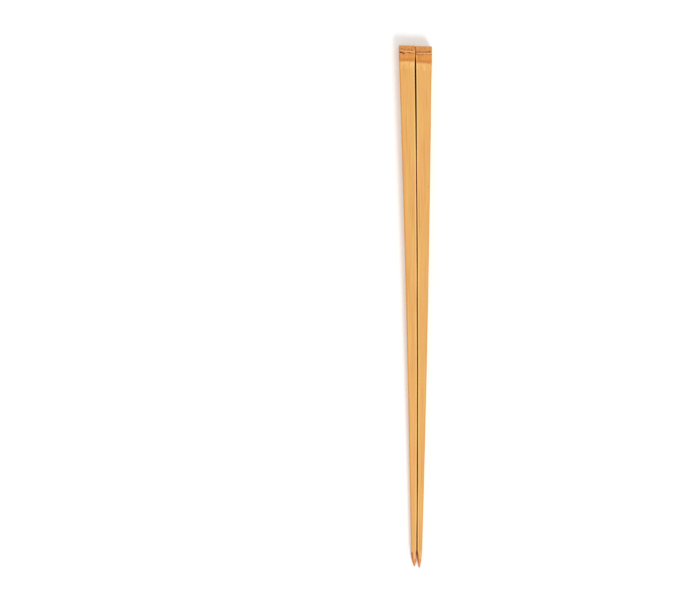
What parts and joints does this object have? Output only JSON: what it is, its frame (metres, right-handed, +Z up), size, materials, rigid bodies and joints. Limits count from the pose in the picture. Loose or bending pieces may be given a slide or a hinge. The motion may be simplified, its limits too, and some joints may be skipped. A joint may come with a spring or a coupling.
{
  "type": "pair of bamboo chopsticks",
  "caption": "Pair of tapered bamboo chopsticks lying side by side, with the culm's node and skin left on the broad ends and sharpened round points.",
  "frame": {"origin": "on the table, under the middle of the pair's bounding box", "axes": "+X from the left stick to the right one, +Y from the tips to the broad ends, +Z up from the table"},
  "size_m": [0.0154, 0.2404, 0.0067],
  "materials": {
    "bamboo": "satin"
  },
  "bodies": {
    "root": {"left_chopstick": "bamboo", "right_chopstick": "bamboo"}
  },
  "joints": []
}
